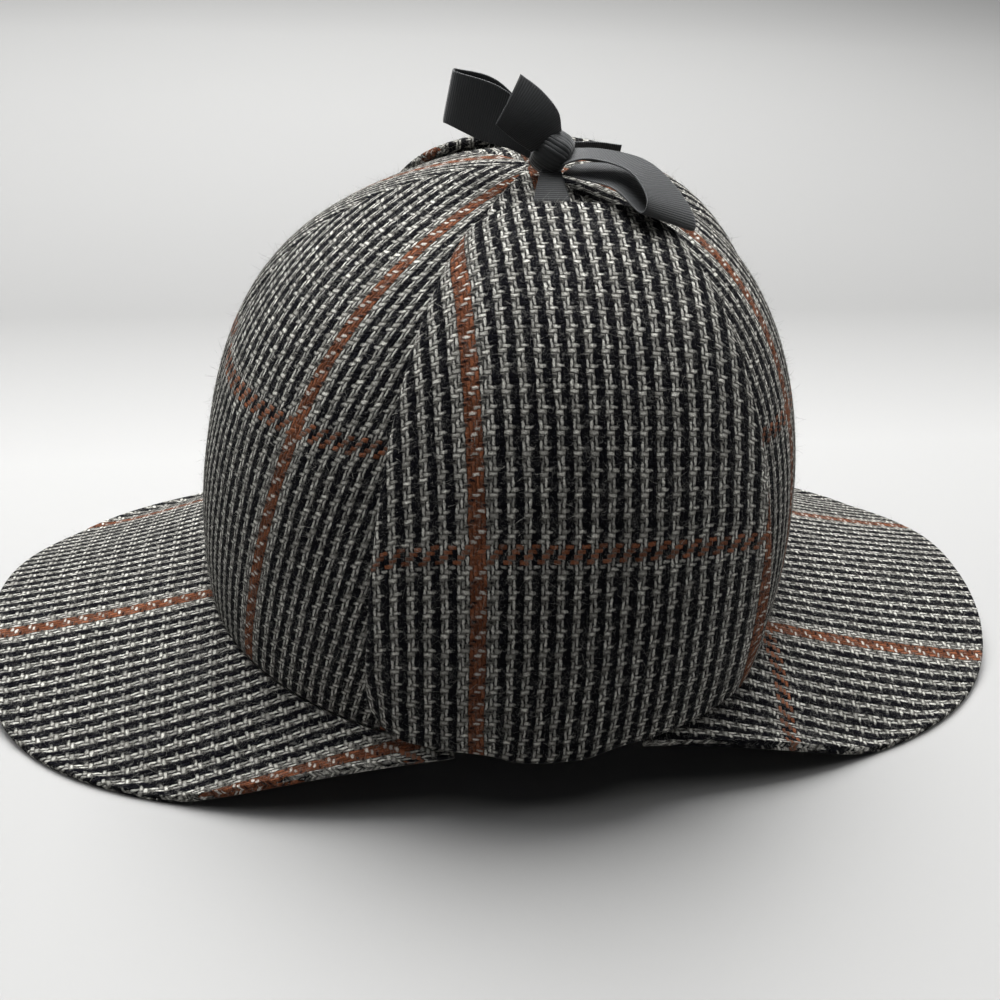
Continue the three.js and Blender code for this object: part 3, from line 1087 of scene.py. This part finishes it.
@dataclass
class Knot:
    """The bow's knot: a turn of ribbon drawn tight round the waist of the bow."""

    name: str = "bow_knot"
    centre: tuple = (2.2, -10.9, 173.6)
    axis: tuple = (0.85, -0.32, -0.42)
    half: tuple = (4.9, 6.3, 6.3)
    rib_ease: float = 0.5

    def build(self) -> bpy.types.Object:
        """Shapes a sphere into the knot, with its ribs lying along the bow.

        Returns:
            The piece.
        """
        deselect_all()
        bpy.ops.mesh.primitive_uv_sphere_add(segments=64, ring_count=32, radius=1.0)
        knot = bpy.context.active_object
        knot.name = self.name
        mesh = knot.data
        mesh.name = self.name
        flat = np.empty(len(mesh.vertices) * 3)
        mesh.vertices.foreach_get("co", flat)
        flat = flat.reshape(-1, 3)
        angle = np.arctan2(flat[:, 1], flat[:, 0])
        width = np.sign(flat[:, 2]) * np.abs(flat[:, 2]) ** 0.8
        gather = 1 + 0.035 * np.cos(5 * angle + 1.3) * np.abs(width) + 0.02 * np.cos(11 * angle)
        around = np.hypot(flat[:, 0], flat[:, 1]) ** 0.38 * gather
        turn = Vector((1, 0, 0)).rotation_difference(Vector(self.axis).normalized()).to_matrix()
        local = np.stack(
            [
                width * self.half[0],
                around * np.cos(angle) * self.half[1],
                around * np.sin(angle) * self.half[2],
            ],
            -1,
        )
        points = local @ np.array(turn).T + np.array(self.centre)
        mesh.vertices.foreach_set("co", (points * MM).ravel())
        corner = np.empty(len(mesh.loops), int)
        mesh.loops.foreach_get("vertex_index", corner)
        layer = mesh.uv_layers.active
        layer.name = "grain"
        spun = np.empty(len(mesh.loops) * 2)
        layer.data.foreach_get("uv", spun)
        turns = spun.reshape(-1, 2)[:, 0] * 2 * math.pi * self.half[1] * self.rib_ease
        layer.data.foreach_set("uv", np.stack([width[corner] * self.half[0], turns], -1).ravel())
        mesh.update()
        deselect_all()
        knot.select_set(True)
        bpy.context.view_layer.objects.active = knot
        bpy.ops.object.mode_set(mode="EDIT")
        bpy.ops.mesh.select_all(action="SELECT")
        bpy.ops.mesh.normals_make_consistent(inside=False)
        bpy.ops.object.mode_set(mode="OBJECT")
        bpy.ops.object.shade_smooth()
        return knot

    def dress(self, piece: bpy.types.Object, finish: bpy.types.Material) -> None:
        """Gives the knot its finish and its place in the part.

        Args:
            piece: The knot.
            finish: Its material.
        """
        piece.data.materials.clear()
        piece.data.materials.append(finish)
        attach(piece, "root")
        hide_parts("bow_knot")


@dataclass
class Fuzz:
    """Short loose fibres over one sheet of cloth."""

    sheet: Sheet
    per_square_cm: float = 45.0
    shortest: float = 0.7
    longest: float = 4.6
    width: float = 0.04
    seed: int = 1

    def build(self) -> bpy.types.Object:
        """Grows curved fibres out of the sheet's outer face.

        Returns:
            The fibres as one piece.
        """
        rng = np.random.default_rng(self.seed)
        points = self.sheet.face(1)
        a, b = points[:-1, 1:] - points[:-1, :-1], points[1:, :-1] - points[:-1, :-1]
        facing = np.cross(a, b)
        area = np.linalg.norm(facing, axis=-1)
        count = int(area.sum() / 100 * self.per_square_cm)
        cell = rng.choice(area.size, count, p=(area / area.sum()).ravel())
        j, i = np.divmod(cell, area.shape[1])
        f, g = rng.random((2, count, 1))
        root = points[j, i] + f * a[j, i] + g * b[j, i]
        out = unit(facing[j, i])
        lay = rng.normal(size=(count, 3))
        lay = unit(lay - (lay * out).sum(1, keepdims=True) * out)
        rise = 0.04 + 0.9 * rng.random((count, 1)) ** 2.5
        long = self.shortest + (self.longest - self.shortest) * rng.random((count, 1)) ** 2.2
        curl = unit(rng.normal(size=(count, 3))) * rng.uniform(0.1, 0.5, (count, 1))
        way = unit(out * rise + lay * (1 - 0.5 * rise))
        wide = unit(np.cross(way, rng.normal(size=(count, 3)))) * self.width / 2
        rows = []
        for share, taper in ((0.0, 1.0), (0.4, 0.9), (0.75, 0.65), (1.0, 0.15)):
            spot = root - 0.12 * out + long * (way * share + curl * share * share)
            rows += [spot - wide * taper, spot + wide * taper]
        verts = np.stack(rows, 1)
        verts[..., 2] = np.maximum(verts[..., 2], 0.05)
        first = np.arange(count)[:, None] * 8
        faces = np.concatenate([first + np.array([k, k + 1, k + 3, k + 2]) for k in (0, 2, 4)])
        mesh = bpy.data.meshes.new(f"{self.sheet.name}_fuzz")
        mesh.from_pydata((verts.reshape(-1, 3) * MM).tolist(), [], faces.tolist())
        shade = np.repeat(np.clip(rng.normal(0.45, 0.35, count), 0, 1), 8)
        mesh.attributes.new("shade", "FLOAT", "POINT").data.foreach_set("value", shade)
        mesh.update()
        piece = bpy.data.objects.new(mesh.name, mesh)
        bpy.context.scene.collection.objects.link(piece)
        return piece

    def dress(self, piece: bpy.types.Object, finish: bpy.types.Material) -> None:
        """Gives the fibres their finish and their place in the part.

        Args:
            piece: The fibres.
            finish: Their material.
        """
        piece.data.materials.append(finish)
        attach(piece, "root")


@dataclass
class Hat:
    """The cloth of the hat: crown, peaks and ear flaps."""

    panels: Sequence[CrownPanel] = (
        CrownPanel(
            "crown_front_left",
            start=180,
            puff=3.5,
            puff_top=-1.2,
            grain=Grain(turn=180, stripe=-15.2, band=-88.7, end=0.98, bow=4.8),
        ),
        CrownPanel("crown_left", start=240, puff=3.5, puff_top=0),
        CrownPanel("crown_back_left", start=300, puff=3.5, puff_top=0.4, grain=Grain(stripe=-0.5, band=85)),
        CrownPanel(
            "crown_back_right",
            start=0,
            puff=4,
            puff_top=1.6,
            grain=Grain(turn=-3, stripe=-12, band=85),
        ),
        CrownPanel("crown_right", start=60, puff=3.5, puff_top=0),
        CrownPanel(
            "crown_front_right",
            start=120,
            puff=3,
            puff_top=-1.8,
            grain=Grain(turn=4, stripe=9, band=88),
        ),
    )
    peaks: Sequence[Peak] = (
        Peak("front_peak", end=End.FRONT, grain=Grain(stripe=-12.5, band=41, end=0.96, pick=1.42)),
        Peak("back_peak", end=End.BACK, grain=Grain(stripe=43, band=79, end=0.99, pick=1.45)),
    )
    flaps: Sequence[EarFlap] = (
        EarFlap(
            "left_ear_flap",
            side=Side.LEFT,
            grain=Grain(
                stripe=-36.5, band=71.4, end=1.09, pick=1.62, ease=0.0097, calm=-20, taper=0.0029, sag=6
            ),
        ),
        EarFlap(
            "right_ear_flap",
            side=Side.RIGHT,
            grain=Grain(
                stripe=36.5, band=71.4, end=1.09, pick=1.62, ease=0.0097, calm=20, taper=0.0029, sag=6
            ),
        ),
    )

    def nodes(self) -> Sequence[tuple[Sheet, str]]:
        """Each sheet with the solid that it stands for."""
        names = {
            "crown_front_left": "crown_panel_front_left",
            "crown_left": "crown_panel_left",
            "crown_back_left": "crown_panel_back_left",
            "crown_back_right": "crown_panel_back_right",
            "crown_right": "crown_panel_right",
            "crown_front_right": "crown_panel_front_right",
            "front_peak": "peak_front",
            "back_peak": "peak_back",
            "left_ear_flap": "ear_flap_left",
            "right_ear_flap": "ear_flap_right",
        }
        return [(sheet, names[sheet.name]) for sheet in (*self.panels, *self.peaks, *self.flaps)]

    def build(self) -> None:
        """Builds and dresses every sheet and its fuzz."""
        tweed = TweedFinish().material()
        fibres = FuzzFinish().material()
        for number, (sheet, node) in enumerate(self.nodes()):
            piece = sheet.build()
            sheet.dress(piece, tweed, node)
            LOG.info("%s: %d faces", piece.name, len(piece.data.polygons))
            fuzz = Fuzz(sheet, seed=number + 11)
            hair = fuzz.build()
            fuzz.dress(hair, fibres)
            LOG.info("%s: %d faces", hair.name, len(hair.data.polygons))


@dataclass
class Bow:
    """The black ribbon: a knot, two loops, two tails and the two ties from the flaps."""

    knot: Knot = field(default_factory=Knot)
    ribbons: Sequence[tuple[Ribbon, str]] = (
        (
            Ribbon(
                "front_loop",
                stations=(
                    (-2.7, -10.4, 171.1, 0.7, -9.4, 177.5),
                    (-10.1, -9.4, 174.1, -6.7, -8, 185.8),
                    (-17.4, -7.5, 175.6, -13.5, -6, 190.2),
                    (-25.8, -4.5, 178.7, -23.2, -3.1, 192.4),
                    (-27.0, -2.1, 178.7, -24.5, -0.6, 192.4),
                    (-25.3, 0.4, 178.7, -22.7, 1.8, 192.1),
                    (-15.5, -0.6, 175.1, -11.6, 0.4, 189.3),
                    (-2.7, -5, 172.6, 1.2, -5, 177.5),
                ),
            ),
            "bow_loop_front",
        ),
        (
            Ribbon(
                "back_loop",
                stations=(
                    (1.5, -16.2, 170.6, 7.9, -11.3, 175),
                    (9.4, -20.6, 175, 15.8, -13.7, 175.5),
                    (18.3, -27.5, 175, 26.1, -18.7, 174.5),
                    (21.9, -33.2, 172.6, 33.0, -24.6, 170.4),
                    (22.8, -38.0, 169.6, 38.2, -32.0, 163.8),
                    (21.2, -38.0, 166.8, 37.2, -33.0, 160.2),
                    (15.8, -30.5, 170.2, 27.5, -19.5, 170),
                    (9.9, -22.6, 169.8, 17, -12.5, 171.2),
                    (4.5, -15.7, 169.1, 8.9, -10.8, 170),
                ),
            ),
            "bow_loop_back",
        ),
        (
            Ribbon(
                "front_tail",
                stations=(
                    (-4.2, -14.2, 174.6, 4.1, -12.4, 180),
                    (-9.1, -15.8, 178, 2.6, -12.6, 185.4),
                    (-12.1, -16.8, 180.4, -2.3, -12.2, 190.7),
                    (-15, -17.2, 182.9, -8.2, -11.8, 194.7),
                ),
                cup=0.8,
                rows=36,
            ),
            "bow_tail_front",
        ),
        (
            Ribbon(
                "back_tail",
                stations=(
                    (8, -5, 169.7, 8, -4.5, 174.6),
                    (15.9, -2.6, 168.2, 16.4, -2.6, 174.1),
                    (23.2, -1.6, 164.3, 24.2, -2.1, 173.1),
                ),
                rows=32,
            ),
            "bow_tail_back",
        ),
        (
            Ribbon(
                "left_tie",
                stations=(
                    (-4.5, -23.4, 164.2, 6, -23.4, 164.2),
                    (-3, -19, 167.5, 5, -19, 167.5),
                    (-0.5, -13, 171.5, 4, -13, 171.5),
                ),
                rows=24,
            ),
            "ribbon_tie_left",
        ),
        (
            Ribbon(
                "right_tie",
                stations=(
                    (-4.5, 23.4, 164.2, 6, 23.4, 164.2),
                    (-4, 14, 168.2, 5.5, 14, 168.2),
                    (-2, 2, 170.2, 4.5, 2, 170.2),
                    (0, -8, 172.5, 4, -8, 172.5),
                ),
                rows=36,
            ),
            "ribbon_tie_right",
        ),
    )

    def build(self) -> None:
        """Builds and dresses the knot and every ribbon."""
        finish = RibbonFinish().material()
        knot = self.knot.build()
        self.knot.dress(knot, finish)
        LOG.info("%s: %d faces", knot.name, len(knot.data.polygons))
        for ribbon, node in self.ribbons:
            piece = ribbon.build()
            ribbon.dress(piece, finish, node)
            long = ribbon.length()
            wide = max(ribbon.area() / long, 10.0)
            area = min(ribbon.area(), wide * long)
            LOG.info("%s: %.0f by %.0f mm", piece.name, wide, long)


@dataclass
class Studio:
    """Pale floor, soft overhead light and the camera."""

    target: tuple = (-3.5, 0.0, 50.0)
    azimuth: float = -10.5
    elevation: float = 34.4
    distance: float = 400.0
    roll: float = 4.0
    lens: float = 42.12
    floor_colour: tuple = (0.32, 0.319, 0.315, 1)
    overhead_power: float = 29.0
    side_power: float = 3.6
    sky_strength: float = 1.3
    sky_spread: float = 70.0
    sky_way: tuple = (0.0, -0.3, -1.0)
    room_colour: tuple = (0.9, 0.92, 0.95, 1)
    room_light: float = 0.04
    room_seen: float = 0.42

    def camera(self) -> None:
        """Sets the camera at the photograph's view."""
        az, el, roll = (math.radians(a) for a in (self.azimuth, self.elevation, self.roll))
        back = Vector((math.sin(az) * math.cos(el), -math.cos(az) * math.cos(el), math.sin(el)))
        right = Vector((0, 0, 1)).cross(back).normalized()
        up = back.cross(right)
        right, up = right * math.cos(roll) + up * math.sin(roll), up * math.cos(roll) - right * math.sin(roll)
        made = bpy.data.cameras.new("view")
        made.lens = self.lens
        made.sensor_width = 36.0
        made.clip_start = 0.01
        made.clip_end = 50.0
        camera = bpy.data.objects.new("view", made)
        bpy.context.scene.collection.objects.link(camera)
        turn = Matrix((right, up, back)).transposed().to_4x4()
        camera.matrix_world = Matrix.Translation((Vector(self.target) + back * self.distance) * MM) @ turn
        bpy.context.scene.camera = camera

    def floor(self) -> None:
        """Adds the floor, with painted shade that darkens it behind the hat and lightens it again further
        back.
        """
        deselect_all()
        bpy.ops.mesh.primitive_plane_add(size=12.0)
        floor = bpy.context.active_object
        floor.name = "floor"
        paint = bpy.data.materials.new("floor")
        paint.use_nodes = True
        s = Sketch(paint.node_tree)
        shader = paint.node_tree.nodes["Principled BSDF"]
        where = s.node("ShaderNodeTexCoord").outputs["Object"]
        _, back, _ = s.separate(where)
        # Painted shade: the floor colour dips behind the hat and rises again further back, standing in for
        # the fall of the light
        painted_falloff = s.math("ADD", s.remap(back, 0.11, 0.25, 1.0, 0.66), s.remap(back, 0.26, 0.86, 0.0, 0.4))
        tone_and_painted_shade = s.math("MULTIPLY", s.remap(s.noise(where, 3.0, 2.0).outputs[0], 0.3, 0.7, 0.985, 1.0), painted_falloff)
        shade = s.combine(tone_and_painted_shade, tone_and_painted_shade, tone_and_painted_shade)
        s.feed(shader.inputs["Base Color"], s.blend(1.0, self.floor_colour, shade, "MULTIPLY"))
        shader.inputs["Roughness"].default_value = 0.6
        shader.inputs["Specular IOR Level"].default_value = 0.2
        floor.data.materials.append(paint)

    def _softbox(self, name: str, place: tuple, aim: tuple, size: float, power: float) -> None:
        """Adds a square soft light.

        Args:
            name: Light name.
            place: Where it hangs, in metres.
            aim: What it points at, in metres.
            size: Side of the square, in metres.
            power: Power in watts.
        """
        made = bpy.data.lights.new(name, "AREA")
        made.shape = "SQUARE"
        made.size = size
        made.energy = power
        light = bpy.data.objects.new(name, made)
        bpy.context.scene.collection.objects.link(light)
        light.location = place
        light.rotation_mode = "QUATERNION"
        light.rotation_quaternion = (Vector(aim) - Vector(place)).to_track_quat("-Z", "Y")

    def lights(self) -> None:
        """Hangs the soft lights and sets the room's own light."""
        self._softbox("overhead", (-0.05, 0.38, 1.0), (0.0, 0.09, 0.0), 0.8, self.overhead_power)
        self._softbox("window", (-0.9, 0.2, 0.55), (0.0, 0.0, 0.07), 0.6, self.side_power)
        self._softbox("side", (0.9, 0.2, 0.5), (0.0, 0.0, 0.07), 0.6, self.side_power)
        sky = bpy.data.lights.new("sky", "SUN")
        sky.energy = self.sky_strength
        sky.angle = math.radians(self.sky_spread)
        high = bpy.data.objects.new("sky", sky)
        bpy.context.scene.collection.objects.link(high)
        high.rotation_mode = "QUATERNION"
        high.rotation_quaternion = Vector(self.sky_way).to_track_quat("-Z", "Y")
        world = bpy.data.worlds.new("room")
        world.use_nodes = True
        s = Sketch(world.node_tree)
        room = world.node_tree.nodes["Background"]
        room.inputs[0].default_value = self.room_colour
        seen = s.node("ShaderNodeLightPath").outputs["Is Camera Ray"]
        s.feed(room.inputs[1], s.choose(seen, self.room_light, self.room_seen))
        bpy.context.scene.world = world
        bpy.context.scene.view_settings.view_transform = "Standard"
        bpy.context.scene.view_settings.look = "None"

    def build(self) -> None:
        """Builds the whole studio."""
        self.camera()
        self.floor()
        self.lights()


def main() -> None:
    """Builds the studio, the hat and the bow, in that order."""
    logging.basicConfig(level=logging.INFO, format="%(name)s %(message)s")
    Studio().build()
    Hat().build()
    Bow().build()


if __name__ == "__main__":
    main()
